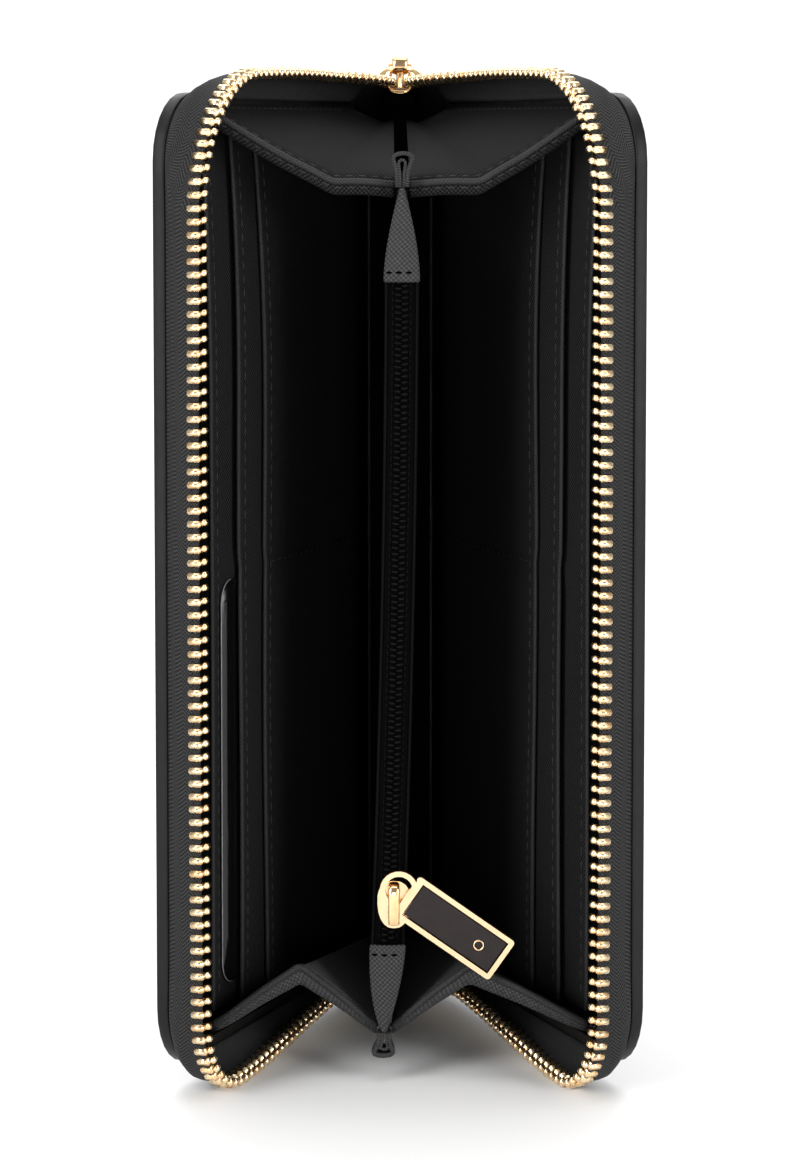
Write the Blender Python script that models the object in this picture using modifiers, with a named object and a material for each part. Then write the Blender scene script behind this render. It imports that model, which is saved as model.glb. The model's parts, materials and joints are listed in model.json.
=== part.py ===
"""Zip around wallet, standing on its short end with its mouth open: two hinged covers with zip tape and
teeth, card slots, folded end gussets and a zipped coin pocket in the middle. Metres, +Z up, mouth towards -Y."""
import math

import bmesh
import bpy
from mathutils import Matrix, Vector

MM = 0.001
# driving dimensions, in millimetres
OPEN_DEG = 22.0          # each cover's opening from the middle plane at rest
HX = 10.0                # hinge axis, distance from the middle plane
HY = 37.88               # hinge axis, towards the spine
LIFT = 4.0               # heights below are from this far above the ground
COVER_D = 98.0           # cover, spine fold to zip edge
COVER_Z0, COVER_Z1 = 1.0, 194.0
COVER_T = 2.4            # cover leather with its turned edge
LEATHER = 1.0            # leather alone
CORNER_R = 13.0
HINGE_GAP = 1.5          # spine leather to hinge axis
LINING_U = (1.5, 1.9)
SLOT_U = ((2.2, 2.8), (3.7, 4.3), (4.6, 5.2))
SLOT_V = (79.7, 69.9, 59.6)
SLOT_Z0, SLOT_Z1 = 10.0, 187.0
WINDOW_U = (3.1, 3.4)
WINDOW_V = (22.0, 76.9)
WINDOW_Z = (14.5, 96.5)
TAPE_U = (2.2, 4.1)
TAPE_T = 0.7
TEETH_U = (4.6, 9.2)
TEETH_T = 1.8
ROOT_V, ROOT_Z0, ROOT_Z1, ROOT_R = 95.6, 3.4, 191.6, (12.0, 12.0)
HEAD_V, HEAD_Z0, HEAD_Z1, HEAD_R = 97.4, -3.1, 197.6, (28.0, 16.0)
ROW_START = 9.5          # the rows start this far in front of the hinge axis
GUSSET_U = 6.0           # the gussets meet the covers over the slot panels
FACE_Y = -75.5           # coin zip face, from the hinge axis
POCKET_Z0, POCKET_Z1 = 6.0, 175.6
POCKET_W = 3.1           # half width of the zip face
PINCH_W = 0.75
SLIDER_Z = 197.6         # main slider, middle of its channel
SLIDER_Y = -2.5
PULL_LEN = 26.3
PULL_W = 9.4
PULL_T = 1.6
PULL_LEAN_DEG = 36.0
COIN_P = (-1.2, 36.4)    # coin pull's pivot, x and z
COIN_SWING_DEG = 35.0    # below level


def clear():
    for o in list(bpy.data.objects):
        bpy.data.objects.remove(o, do_unlink=True)


def collection(name):
    c = bpy.data.collections.new(name)
    bpy.context.scene.collection.children.link(c)
    return c


def material(name, color, rough, metal=0.0):
    m = bpy.data.materials.new(name)
    m.use_nodes = True
    b = m.node_tree.nodes["Principled BSDF"]
    b.inputs["Base Color"].default_value = (*color, 1)
    b.inputs["Roughness"].default_value = rough
    b.inputs["Metallic"].default_value = metal
    return m


clear()
PARTS = collection("zip_around_wallet")
CUTTERS = collection("cutters")
SMOOTH = material("smooth_leather", (0.012, 0.012, 0.013), 0.42)
GRAIN = material("crosshatch_leather", (0.022, 0.022, 0.023), 0.5)
CLOTH = material("lining_cloth", (0.006, 0.006, 0.006), 0.85)
BOARD = material("stiffener_board", (0.2, 0.19, 0.17), 0.9)
TAPE = material("zip_tape", (0.012, 0.012, 0.013), 0.75)
NYLON = material("nylon_coil", (0.01, 0.01, 0.01), 0.45)
GOLD = material("pale_gold", (0.9, 0.62, 0.33), 0.2, 1.0)
ENAMEL = material("dark_inlay", (0.018, 0.015, 0.015), 0.3)
CLEAR = material("clear_sleeve", (0.05, 0.05, 0.05), 0.08)

EMPTIES = {}


def empty(name, at, parent=None, turn=(0, 0, 0)):
    e = bpy.data.objects.new(name, None)
    PARTS.objects.link(e)
    if parent:
        e.parent = EMPTIES[parent]
    e.location = Vector(at) * MM
    e.rotation_euler = [math.radians(a) for a in turn]
    EMPTIES[name] = e
    return e


empty("hinge_datum", (0, HY, LIFT))
SIDES = {"left": 1.0, "right": -1.0}
for side, s in SIDES.items():
    empty(side + "_cover_axis", (-s * HX, 0, 0), "hinge_datum", (0, 0, -s * OPEN_DEG))
empty("main_slider_path", (0, SLIDER_Y, SLIDER_Z), "hinge_datum")
empty("main_pull_axis", (0, 4.6, 3.8), "main_slider_path", (PULL_LEAN_DEG, 0, 0))
empty("coin_slider_path", (COIN_P[0], FACE_Y, COIN_P[1]), "hinge_datum")
empty("coin_pull_axis", (0, -4.1, 0), "coin_slider_path", (0, COIN_SWING_DEG - 90.0, 0))


def add(obj, mat, parent):
    obj.data.materials.clear()
    obj.data.materials.append(mat)
    for c in list(obj.users_collection):
        c.objects.unlink(obj)
    PARTS.objects.link(obj)
    obj.parent = EMPTIES[parent]
    return obj


def outline_slab(name, loops, lo, hi, axes, mat, parent, sink=None):
    """A flat outline between lo and hi along the normal. axes gives the two outline directions and the normal."""
    c = bpy.data.curves.new(name, "CURVE")
    c.dimensions, c.fill_mode, c.extrude = "2D", "BOTH", (hi - lo) / 2 * MM
    for loop in loops:
        s = c.splines.new("POLY")
        s.points.add(len(loop) - 1)
        for p, (a, b) in zip(s.points, loop):
            p.co = (a * MM, b * MM, 0, 1)
        s.use_cyclic_u = True
    o = bpy.data.objects.new(name, c)
    a, b, n = (Vector(x) for x in axes)
    if a.cross(b).dot(n) < 0:
        raise ValueError(name + ": the outline axes are left handed")
    m = Matrix((a, b, n)).transposed().to_4x4()
    m.translation = n * (lo + hi) / 2 * MM
    PARTS.objects.link(o)
    bpy.context.view_layer.update()
    mesh = bpy.data.meshes.new_from_object(o.evaluated_get(bpy.context.evaluated_depsgraph_get()))
    bpy.data.objects.remove(o, do_unlink=True)
    bm = bmesh.new()
    bm.from_mesh(mesh)
    bmesh.ops.remove_doubles(bm, verts=bm.verts, dist=0.00001)
    bmesh.ops.transform(bm, matrix=m, verts=bm.verts)
    bmesh.ops.recalc_face_normals(bm, faces=bm.faces)
    bm.to_mesh(mesh)
    bm.free()
    mesh.name = name
    o = bpy.data.objects.new(name, mesh)
    PARTS.objects.link(o)
    return add(o, mat, parent) if sink is None else o


def axes_for(s):
    """Outline axes for a panel on a cover: the distance from the hinge, then height; the normal is towards the middle."""
    # distance from the hinge runs along -Y, so the normal of (-Y, Z) is -X
    return ((0, -1, 0), (0, 0, 1), (-1, 0, 0))


def rounded(v0, v1, z0, z1, r, n=6, rear=0.0):
    """A rectangle whose two front corners are rounded, as (v, z) points."""
    pts = []
    for cv, cz, a0 in ((v1 - r, z0 + r, -90), (v1 - r, z1 - r, 0)):
        for i in range(n + 1):
            a = math.radians(a0 + 90 * i / n)
            pts.append((cv + r * math.cos(a), cz + r * math.sin(a)))
    if rear:
        for cv, cz, a0 in ((v0 + rear, z1 - rear, 90), (v0 + rear, z0 + rear, 180)):
            for i in range(n + 1):
                a = math.radians(a0 + 90 * i / n)
                pts.append((cv + rear * math.cos(a), cz + rear * math.sin(a)))
    else:
        pts += [(v0, z1), (v0, z0)]
    return pts


def panel(name, s, loop, u0, u1, mat, parent):
    """A flat panel on a cover, from u0 to u1 towards the middle plane."""
    lo, hi = (-u1, -u0) if s > 0 else (u0, u1)
    return outline_slab(name, [loop], lo, hi, axes_for(s), mat, parent)


def grid_sheet(name, rows, thickness, mat, parent, offset=0.0):
    """A sheet through rows of points, made solid."""
    bm = bmesh.new()
    vs = [[bm.verts.new(Vector(p) * MM) for p in row] for row in rows]
    for r0, r1 in zip(vs, vs[1:]):
        for k in range(len(r0) - 1):
            bm.faces.new((r0[k], r0[k + 1], r1[k + 1], r1[k]))
    mesh = bpy.data.meshes.new(name)
    bm.to_mesh(mesh)
    bm.free()
    o = bpy.data.objects.new(name, mesh)
    m = o.modifiers.new("thickness", "SOLIDIFY")
    m.thickness, m.offset, m.use_even_offset = thickness * MM, offset, True
    m.thickness_clamp = 0
    PARTS.objects.link(o)
    return add(o, mat, parent)


def box(name, lo, hi, mat, parent, bevel=0.0):
    bpy.ops.mesh.primitive_cube_add(size=1)
    o = bpy.context.object
    o.name = o.data.name = name
    lo, hi = Vector(lo) * MM, Vector(hi) * MM
    for v in o.data.vertices:
        v.co = (lo + hi) / 2 + Vector(a * b for a, b in zip(v.co, hi - lo))
    if bevel:
        m = o.modifiers.new("edge", "BEVEL")
        m.width, m.segments = bevel * MM, 2
    return add(o, mat, parent)


def boolean(obj, other, how):
    m = obj.modifiers.new(how.lower(), "BOOLEAN")
    m.operation, m.object, m.solver = how, other, "EXACT"
    for c in list(other.users_collection):
        c.objects.unlink(other)
    CUTTERS.objects.link(other)
    other.hide_render, other.display_type = True, "WIRE"
    return obj


def u_path(front, z0, z1, radii, start, n_side, n_arc, n_front):
    """Points (v, z) down the top edge from the hinge side, round the two front corners and back along the bottom."""
    rt, rb = radii
    pts = [(start + (front - rt - start) * i / n_side, z1) for i in range(n_side)]
    pts += [(front - rt + rt * math.sin(math.radians(90 * i / n_arc)), z1 - rt + rt * math.cos(math.radians(90 * i / n_arc))) for i in range(n_arc)]
    pts += [(front, z1 - rt + (z0 + rb - (z1 - rt)) * i / n_front) for i in range(n_front)]
    pts += [(front - rb + rb * math.cos(math.radians(90 * i / n_arc)), z0 + rb - rb * math.sin(math.radians(90 * i / n_arc))) for i in range(n_arc)]
    pts += [(front - rb + (start - (front - rb)) * i / n_side, z0) for i in range(n_side + 1)]
    return pts


# ---------------------------------------------------------------- covers
for side, s in SIDES.items():
    axis = side + "_cover_axis"
    # turned leather edge: a full slab, hollowed on its inner face for the board
    full = panel(side + "_cover_leather", s, rounded(0, COVER_D, COVER_Z0, COVER_Z1, CORNER_R), -COVER_T / 2, COVER_T / 2, SMOOTH, axis)
    hollow = panel(side + "_cover_hollow", s, rounded(2.0, COVER_D - 1.6, COVER_Z0 + 1.6, COVER_Z1 - 1.6, CORNER_R - 1.6), -COVER_T / 2 + LEATHER, COVER_T, SMOOTH, axis)
    boolean(full, hollow, "DIFFERENCE")
    panel(side + "_cover_board", s, rounded(2.4, COVER_D - 2.0, COVER_Z0 + 2.0, COVER_Z1 - 2.0, CORNER_R - 2.0), -COVER_T / 2 + LEATHER + 0.3, COVER_T / 2 - 0.1, BOARD, axis)
    panel(side + "_cover_lining", s, rounded(3.0, 93.5, COVER_Z0 + 3.5, COVER_Z1 - 3.5, 10.0), *LINING_U, CLOTH, axis)
    for k, (u, v) in enumerate(zip(SLOT_U, SLOT_V)):
        name = side + ("_slip_pocket", "_card_slot_outer", "_card_slot_inner")[k]
        panel(name, s, rounded(5.0, v, SLOT_Z0, SLOT_Z1, 2.0, 3), *u, GRAIN, axis)
    root = u_path(ROOT_V, ROOT_Z0, ROOT_Z1, ROOT_R, ROW_START, 5, 6, 4)
    head = u_path(HEAD_V, HEAD_Z0, HEAD_Z1, HEAD_R, ROW_START, 5, 6, 4)
    rows = []
    for (v0, z0), (v1, z1) in zip(root, head):
        rows.append([(s * TAPE_U[0], -v0, z0), (s * (TAPE_U[0] + 0.5 * (TAPE_U[1] - TAPE_U[0])), -(v0 + 0.75 * (v1 - v0)), z0 + 0.75 * (z1 - z0)), (s * TAPE_U[1], -v1, z1)])
    grid_sheet(side + "_zip_tape", rows, TAPE_T, TAPE, axis)
    rows = [[(s * TEETH_U[0], -v, z), (s * TEETH_U[1], -v, z)] for v, z in u_path(HEAD_V, HEAD_Z0, HEAD_Z1, HEAD_R, ROW_START, 5, 8, 6)]
    grid_sheet(side + "_zip_teeth", rows, TEETH_T, GOLD, axis)

loop = rounded(*WINDOW_V, *WINDOW_Z, 4.5, 4, rear=4.5)
panel("id_window", 1.0, loop, *WINDOW_U, CLEAR, "left_cover_axis")

# ---------------------------------------------------------------- spine
root_body = "hinge_datum"
box("spine_leather", (-(HX - HINGE_GAP), -1.2, COVER_Z0), (HX - HINGE_GAP, 1.2, COVER_Z1), SMOOTH, root_body)
box("spine_lining", (-(HX - 3.4), -2.1, COVER_Z0 + 4), (HX - 3.4, -1.5, COVER_Z1 - 4), CLOTH, root_body)
box("zip_tail_top", (-3.4, -8.4, 192.4), (3.4, -2.4, 194.4), TAPE, root_body, 0.4)
box("zip_tail_bottom", (-3.4, -8.4, 0.4), (3.4, -2.4, 2.2), TAPE, root_body, 0.4)
box("zip_bottom_stop", (-2.6, -11.4, -0.2), (2.6, -8.7, 2.5), GOLD, root_body, 0.5)


# ---------------------------------------------------------------- coin pocket
def lean(z):
    """How far the pocket's front edge stands to one side at a height."""
    t = (z - 5.0) / 172.0
    return -3.2 + 7.2 * t - 3.6 * t * t if t > 0 else -3.2


def swell(z):
    """Half width of the pocket's front face at a height: full along the zip, drawn to a pinch at each end."""
    low = min(1.0, max(0.0, (z - POCKET_Z0) / 16.0))
    high = min(1.0, max(0.0, (POCKET_Z1 - z) / 16.0))
    k = min(low, high)
    return PINCH_W + (POCKET_W - PINCH_W) * k * k * (3 - 2 * k)


def stations(z0, z1, n):
    return [z0 + (z1 - z0) * i / n for i in range(n + 1)]


for side, s in SIDES.items():
    rows = []
    zs = [6, 10, 14, 18, 22, 40, 65, 90, 115, 140, 160, 164, 168, 172, 175.6]
    for z in zs:
        w, c = swell(z), lean(z)
        row = []
        for y, near in ((-3.0, 0.0), (-20.0, 0.08), (-40.0, 0.3), (-58.0, 0.68), (-68.0, 0.93), (-72.5, 1.0), (FACE_Y + 0.9, 1.0)):
            flare = max(0.0, min(1.0, (-56.0 - y) / 12.0))
            flare = flare * flare * (3 - 2 * flare)
            half = 0.85 + (w - 0.85) * flare if w > 0.85 else 0.85 * (1 - flare) + w * flare
            row.append((c * near - s * half, y, z))
        rows.append(row)
    grid_sheet(side + "_coin_pocket_wall", rows, 0.6, GRAIN, root_body, 0.0)

rows = []
for z in stations(12.0, 170.0, 12):
    w, c = max(0.9, swell(z) - 0.35), lean(z)
    rows.append([(c - w, FACE_Y + 0.25, z), (c, FACE_Y + 0.25, z), (c + w, FACE_Y + 0.25, z)])
grid_sheet("coin_zip_tape", rows, 0.5, TAPE, root_body)
rows = []
for z in stations(24.5, 158.0, 12):
    c = lean(z)
    rows.append([(c - 1.3, FACE_Y - 0.75, z), (c + 1.3, FACE_Y - 0.75, z)])
coil = grid_sheet("coin_zip_coil", rows, 0.8, NYLON, root_body)

# end tabs: leather folded over each end of the coin zip, tapering to a pinch and ending in a folded loop
for name, za, zb, ztip, sgn in (("coin_tab_top", 158.6, 175.2, 182.0, 1), ("coin_tab_bottom", 24.0, 6.4, 0.9, -1)):
    rows = []
    n = 8
    for i in range(n + 1):
        z = za + (zb - za) * i / n
        k = 1 - i / n
        w = 0.8 + (POCKET_W + 0.45 - 0.8) * (k ** 0.75)
        c = lean(z)
        y = FACE_Y - 1.55 - 0.5 * k
        rows.append([(c - w, y + 0.35, z), (c - w * 0.5, y - 0.25, z), (c, y - 0.4, z), (c + w * 0.5, y - 0.25, z), (c + w, y + 0.35, z)])
    c = lean(zb)
    for i in range(1, 6):
        z = zb + (ztip - 0.4 * sgn - zb) * i / 5
        w = 0.8 + 0.75 * math.sin(math.pi * (i + 0.4) / 6.2)
        y = FACE_Y - 1.55
        rows.append([(c - w, y + 0.3, z), (c - w * 0.5, y - 0.1, z), (c, y - 0.2, z), (c + w * 0.5, y - 0.1, z), (c + w, y + 0.3, z)])
    grid_sheet(name, rows, 0.8, GRAIN, root_body)

# ---------------------------------------------------------------- end gussets
a = math.radians(OPEN_DEG)


def on_cover(s, u, v):
    """A cover point at rest, from the hinge datum."""
    return (-s * HX - s * v * math.sin(a) + s * u * math.cos(a), -v * math.cos(a) - u * math.sin(a))


for side, s in SIDES.items():
    for end in ("top", "bottom"):
        up = end == "top"
        rows = []
        for i in range(7):
            t = i / 6
            # from the front edge, t = 0, back to the spine, t = 1
            v = 84.0 + (8.0 - 84.0) * t
            ax, ay = on_cover(s, GUSSET_U, v)
            cy = FACE_Y + 2.5 + (-4.0 - (FACE_Y + 2.5)) * t
            near = max(0.0, min(1.0, (-cy - 3.0) / 70.0)) ** 1.3
            if up:
                az, bz, cz = 189.4 + 1.2 * t, 177.2 + 12.4 * t ** 0.8, 176.4 + 13.0 * t ** 0.8
                c = lean(175.6) * near
                cx = c - s * (1.75 + 0.1 * (1 - t))
                bx = cx + (ax - cx) * 0.37
            else:
                az, bz, cz = 8.6 - 0.4 * t, 18.4 - 9.6 * t ** 0.8, 6.6 + 1.8 * t
                c = lean(6.0) * near
                cx = c - s * (1.75 + 0.1 * (1 - t))
                bx = cx + (ax - cx) * 0.5
            by = (ay + cy) / 2 + 1.5 * (1 - t)
            row = []
            for k in range(4):
                f = k / 4
                row.append((ax + (bx - ax) * f, ay + (by - ay) * f, az + (bz - az) * f))
            for k in range(5):
                f = k / 4
                row.append((bx + (cx - bx) * f, by + (cy - by) * f, bz + (cz - bz) * f))
            rows.append(row)
        grid_sheet(side + "_gusset_" + end, rows, 0.7, GRAIN, root_body)


# ---------------------------------------------------------------- sliders and pulls
def oval(hw, hl, n=20, power=2.4, taper=0.0):
    """An oval outline with blunt sides."""
    pts = []
    for i in range(n):
        t = 2 * math.pi * i / n
        x = math.copysign(abs(math.cos(t)) ** (2 / power), math.cos(t)) * hw
        y = math.copysign(abs(math.sin(t)) ** (2 / power), math.sin(t)) * hl
        pts.append((x * (1 + taper * y / hl), y))
    return pts


FLAT = ((1, 0, 0), (0, 1, 0), (0, 0, 1))
FACE = ((1, 0, 0), (0, 0, 1), (0, -1, 0))


def arch(name, pts, width, thick, across, mat, parent):
    """A flat strap bent through points in one plane. across is the direction of its width."""
    w = Vector(across) * width / 2
    rows = [[tuple(Vector(p) - w), tuple(Vector(p) + w)] for p in pts]
    return grid_sheet(name, rows, thick, mat, parent)


# main slider: two plates with a post between them, wide mouths to the front
top = outline_slab("main_slider_body", [oval(4.1, 4.6, 20, 2.6, -0.12)], 1.35, 2.7, FLAT, GOLD, "main_slider_path")
low = outline_slab("main_slider_lower", [oval(4.1, 4.6, 20, 2.6, -0.12)], -2.3, -1.35, FLAT, GOLD, "main_slider_path")
bpy.ops.mesh.primitive_cube_add(size=1)
post = bpy.context.object
post.name = "main_slider_post"
for v in post.data.vertices:
    v.co = Vector((v.co.x * 1.0 * MM, (v.co.y * 4.0 - 2.2) * MM, v.co.z * 3.4 * MM))
for c in (low, post):
    c.parent = EMPTIES["main_slider_path"]
    boolean(top, c, "UNION")
# bail over the top plate, open to the sides
bail = [(0, -3.6, 3.1), (0, -3.5, 4.3), (0, -2.8, 5.0), (0, -1.0, 5.25), (0, 3.6, 5.25), (0, 5.2, 5.15), (0, 5.95, 4.5), (0, 6.05, 3.2), (0, 5.85, 2.1), (0, 4.9, 1.8)]
arch("main_slider_bail", bail, 3.3, 0.7, (1, 0, 0), GOLD, "main_slider_path")

# coin slider: a face plate in front of the coil, with its bail, a hook the pull can swing behind
outline_slab("coin_slider_body", [oval(3.3, 4.8, 20, 2.4, 0.1)], 1.4, 3.0, FACE, GOLD, "coin_slider_path")
o = bpy.data.objects["coin_slider_body"]
for v in o.data.vertices:
    v.co.z -= 4.0 * MM
bail = [(0, -3.5, 0.0), (0, -4.6, 0.0), (0, -5.5, -0.4), (0, -5.75, -1.5), (0, -5.75, -5.6), (0, -5.5, -6.8)]
arch("coin_slider_bail", bail, 2.0, 0.7, (1, 0, 0), GOLD, "coin_slider_path")


def tag_corners(w, top_y, end, r=0.7):
    pts = []
    for cx, cy, q in ((-w + r, top_y - r, 90), (-w + r, end + r, 180), (w - r, end + r, 270), (w - r, top_y - r, 0)):
        for i in range(4):
            t = math.radians(q + 30 * i)
            pts.append((cx + r * math.cos(t), cy + r * math.sin(t)))
    return pts


def round_eye_outline():
    """A tag with a round eyelet. The pivot is at (0, 0) and the tag runs down -Y."""
    ring_c, ring_r, tag_top = -1.2, 3.8, -2.9
    a0 = math.degrees(math.acos((ring_c - (tag_top - 0.3)) / ring_r))
    pts = []
    for i in range(17):
        t = math.radians(-90 + a0 + (360 - 2 * a0) * i / 16)
        pts.append((ring_r * math.cos(t), ring_c + ring_r * math.sin(t)))
    return pts + tag_corners(PULL_W / 2, tag_top, -PULL_LEN)


def round_eye():
    pts = []
    for i in range(15):
        t = math.radians(-38 + 256 * i / 14)
        pts.append((2.75 * math.cos(t), -1.2 + 2.75 * math.sin(t)))
    return pts


def bar_eye_outline():
    """A tag with a square eye whose end bar is the pivot, at (0, 0)."""
    pts = [(3.5, -5.7), (3.5, -0.6), (2.9, 0.6), (-2.9, 0.6), (-3.5, -0.6), (-3.5, -5.7)]
    return pts + tag_corners(PULL_W / 2, -5.4, -PULL_LEN - 1.2)


def bar_eye():
    return [(2.3, -0.6), (-2.3, -0.6), (-2.3, -4.4), (2.3, -4.4)]


def pull(name, outline, eye, thick, top_y, end, parent):
    w = PULL_W / 2 - 1.0
    window = [(-w, top_y), (-w, end + 1.0), (w, end + 1.0), (w, top_y)]
    outline_slab(name + "_frame", [outline, eye, window], -thick / 2, thick / 2, FACE, GOLD, parent)
    g = 0.3
    plate = [(-w + g, top_y - g), (-w + g, end + 1.0 + g), (w - g, end + 1.0 + g), (w - g, top_y - g)]
    outline_slab(name + "_inlay", [plate], -thick / 2 + 0.2, thick / 2 - 0.2, FACE, ENAMEL, parent)


pull("main_pull", bar_eye_outline(), bar_eye(), 1.4, -6.8, -PULL_LEN - 1.2, "main_pull_axis")
pull("coin_pull", round_eye_outline(), round_eye(), PULL_T, -4.5, -PULL_LEN, "coin_pull_axis")
bpy.context.view_layer.update()
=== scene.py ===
"""The looks of an open zip around wallet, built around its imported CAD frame."""

import json
import math
import random

import bmesh
import bpy
import numpy as np
from mathutils import Matrix, Vector

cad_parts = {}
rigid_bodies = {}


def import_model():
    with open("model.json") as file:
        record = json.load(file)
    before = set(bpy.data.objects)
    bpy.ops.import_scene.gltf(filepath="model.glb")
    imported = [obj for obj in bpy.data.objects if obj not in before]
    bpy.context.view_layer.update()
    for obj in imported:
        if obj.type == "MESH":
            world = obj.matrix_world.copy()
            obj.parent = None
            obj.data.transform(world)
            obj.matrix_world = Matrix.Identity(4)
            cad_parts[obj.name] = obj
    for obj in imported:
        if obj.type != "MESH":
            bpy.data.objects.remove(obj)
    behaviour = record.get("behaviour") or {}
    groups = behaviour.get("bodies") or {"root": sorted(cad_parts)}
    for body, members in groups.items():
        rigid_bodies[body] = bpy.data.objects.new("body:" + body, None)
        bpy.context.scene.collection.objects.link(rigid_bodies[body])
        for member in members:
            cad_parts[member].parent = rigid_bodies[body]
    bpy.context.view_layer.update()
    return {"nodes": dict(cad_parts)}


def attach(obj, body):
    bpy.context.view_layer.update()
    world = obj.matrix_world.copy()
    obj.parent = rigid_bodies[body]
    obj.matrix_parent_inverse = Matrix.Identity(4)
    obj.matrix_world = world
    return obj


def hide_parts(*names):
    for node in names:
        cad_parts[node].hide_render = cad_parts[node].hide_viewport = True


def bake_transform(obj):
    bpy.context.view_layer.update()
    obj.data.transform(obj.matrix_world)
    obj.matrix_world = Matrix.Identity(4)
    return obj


for o in list(bpy.data.objects):
    bpy.data.objects.remove(o, do_unlink=True)
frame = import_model()
rng = random.Random(7)
MM = 0.001
LIFT = 4.0  # heights below are from this far above the floor, in mm
A = math.radians(22.0)
HX, HY = 10.0, 37.88
SA, CA = math.sin(A), math.cos(A)
SIDES = {"left": 1.0, "right": -1.0}


# ------------------------------------------------------------------ helpers
def cov(s, u, v, z):
    """A point on a cover at rest, in mm: u towards the middle, v forward from the fold."""
    return (-s * HX - s * v * SA + s * u * CA, HY - v * CA - u * SA, z)


def sm(t):
    t = min(1.0, max(0.0, t))
    return t * t * (3 - 2 * t)


def link(name, mesh, mats, smooth=True):
    o = bpy.data.objects.new(name, mesh)
    bpy.context.scene.collection.objects.link(o)
    for m in mats if isinstance(mats, (list, tuple)) else [mats]:
        o.data.materials.append(m)
    if smooth:
        mesh.shade_smooth()
    return o


def apply_mods(o):
    bpy.context.view_layer.update()
    dg = bpy.context.evaluated_depsgraph_get()
    mesh = bpy.data.meshes.new_from_object(o.evaluated_get(dg), preserve_all_data_layers=True, depsgraph=dg)
    o.modifiers.clear()
    o.data = mesh
    return o


def grid(name, P, mats, thick=0.0, offset=0.0, closed=False, bevel=0.0, flip=False, lift=LIFT):
    """A sheet through P[row][col], in mm, with UVs in mm, made solid."""
    P = np.array(P, float) + np.array([0.0, 0.0, lift])
    nr, nc, _ = P.shape
    dv = np.zeros((nr, nc))
    du = np.zeros((nr, nc))
    du[1:] = np.cumsum(np.linalg.norm(P[1:] - P[:-1], axis=2).mean(1))[:, None]
    dv[:, 1:] = np.cumsum(np.linalg.norm(P[:, 1:] - P[:, :-1], axis=2), axis=1)
    if closed:
        P = np.concatenate([P, P[:, :1]], 1)
    faces, uvs = [], []
    nc2 = P.shape[1]
    idx = np.arange(nr * nc).reshape(nr, nc)
    for r in range(nr - 1):
        for c in range(nc if closed else nc - 1):
            c2 = (c + 1) % nc
            q = [idx[r, c], idx[r, c2], idx[r + 1, c2], idx[r + 1, c]]
            t = [(dv[r, c], du[r, c]), (dv[r, c2], du[r, c2]), (dv[r + 1, c2], du[r + 1, c2]), (dv[r + 1, c], du[r + 1, c])]
            if closed and c2 == 0:
                t[1], t[2] = (dv[r, c] + 1, du[r, c2]), (dv[r + 1, c] + 1, du[r + 1, c2])
            if flip:
                q, t = q[::-1], t[::-1]
            faces.append([int(x) for x in q])
            uvs += t
    mesh = bpy.data.meshes.new(name)
    mesh.from_pydata((P[:, :nc].reshape(-1, 3) * MM).tolist(), [], faces)
    layer = mesh.uv_layers.new(name="UVMap")
    layer.data.foreach_set("uv", np.array(uvs, np.float32).reshape(-1))
    if closed:
        bm = bmesh.new()
        bm.from_mesh(mesh)
        bmesh.ops.holes_fill(bm, edges=[e for e in bm.edges if e.is_boundary])
        bmesh.ops.recalc_face_normals(bm, faces=bm.faces)
        bm.to_mesh(mesh)
        bm.free()
    o = link(name, mesh, mats)
    if thick:
        m = o.modifiers.new("solid", "SOLIDIFY")
        m.thickness, m.offset, m.use_even_offset = thick * MM, offset, True
    if bevel:
        m = o.modifiers.new("edge", "BEVEL")
        m.width, m.segments, m.limit_method, m.angle_limit = bevel * MM, 3, "ANGLE", math.radians(50)
    if thick or bevel:
        apply_mods(o)
        o.data.shade_smooth()
    return o


def tube(name, pts, r, mats, n=8, lift=LIFT):
    """A closed round tube along points, in mm. r may be a number or one for each point."""
    pts = [Vector(p) for p in pts]
    rows = []
    up = None
    for i, p in enumerate(pts):
        d = (pts[min(i + 1, len(pts) - 1)] - pts[max(i - 1, 0)]).normalized()
        if up is None:
            up = Vector((0, 0, 1)) if abs(d.z) < 0.9 else Vector((1, 0, 0))
        a = (up - d * up.dot(d)).normalized()
        up = a
        b = d.cross(a)
        rr = r[i] if isinstance(r, (list, tuple)) else r
        rows.append([tuple(p + a * math.cos(2 * math.pi * k / n) * rr + b * math.sin(2 * math.pi * k / n) * rr) for k in range(n)])
    return grid(name, rows, mats, closed=True, lift=lift)


def base_shape(kind, size, bevel=0.0, seg=2):
    bm = bmesh.new()
    if kind == "cube":
        bmesh.ops.create_cube(bm, size=1)
        bmesh.ops.scale(bm, vec=size, verts=bm.verts)
        if bevel:
            bmesh.ops.bevel(bm, geom=bm.edges[:], offset=bevel, segments=seg, affect="EDGES")
    else:
        bmesh.ops.create_uvsphere(bm, u_segments=10, v_segments=6, radius=0.5)
        bmesh.ops.scale(bm, vec=size, verts=bm.verts)
    vs = np.array([v.co[:] for v in bm.verts])
    fs = [[v.index for v in f.verts] for f in bm.faces]
    bm.free()
    return vs, fs


def many(name, shapes, frames, mats):
    """One mesh of the same small shapes set at many frames: (origin, x axis, y axis, z axis) in mm."""
    V, F, n = [], [], 0
    for o, x, y, z in frames:
        M = np.array([x, y, z], float)
        for vs, fs in shapes:
            V.append(vs @ M + np.array(o, float))
            F += [[i + n for i in f] for f in fs]
            n += len(vs)
    mesh = bpy.data.meshes.new(name)
    mesh.from_pydata(((np.concatenate(V) + np.array([0.0, 0.0, LIFT])) * MM).tolist(), [], F)
    return link(name, mesh, mats)


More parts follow.
